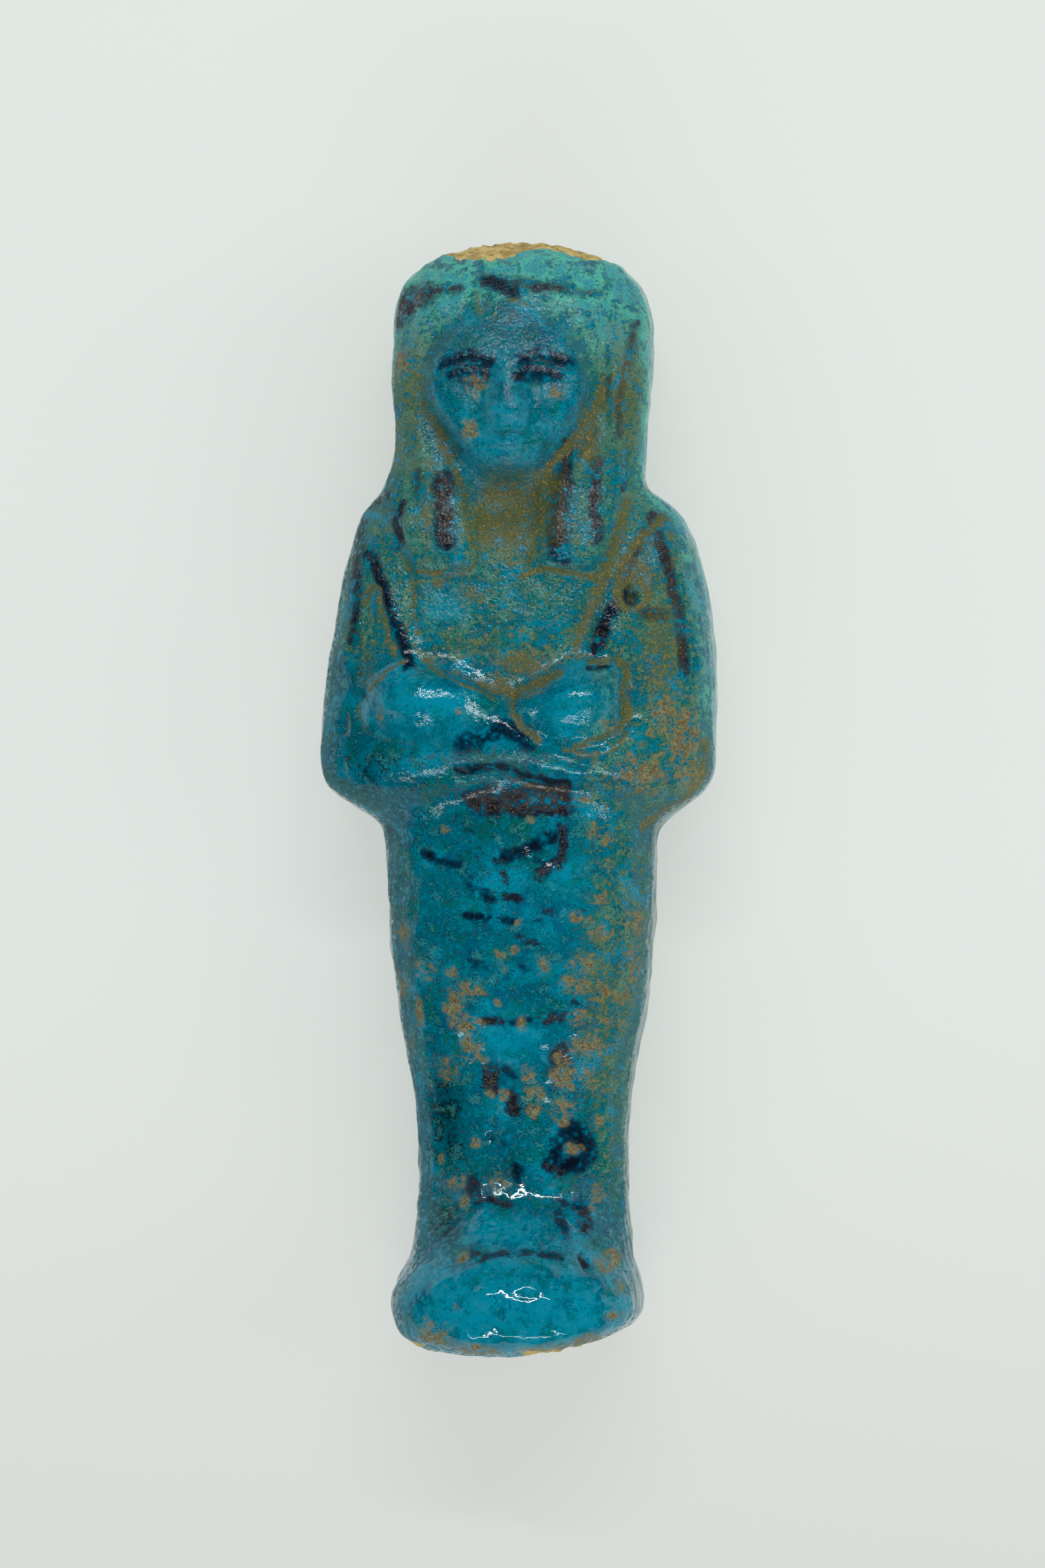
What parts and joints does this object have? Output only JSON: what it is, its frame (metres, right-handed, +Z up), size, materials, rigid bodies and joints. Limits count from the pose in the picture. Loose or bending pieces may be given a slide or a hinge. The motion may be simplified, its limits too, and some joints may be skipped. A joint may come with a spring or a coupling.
{
  "type": "ushabti figurine",
  "caption": "Mummy-shaped servant figurine of blue-glazed faience with crossed arms, wig with lappets, hoes and projecting feet, lying on its back.",
  "frame": {"origin": "below the middle of the figurine, on the surface that its back lies on", "axes": "+Z up out of the figure's front, +Y from the feet to the crown of the head, +X across it towards its left arm"},
  "size_m": [0.0393, 0.11, 0.026],
  "materials": {
    "faience_glaze": "gloss"
  },
  "bodies": {
    "root": {"ushabti": "faience_glaze"}
  },
  "joints": []
}
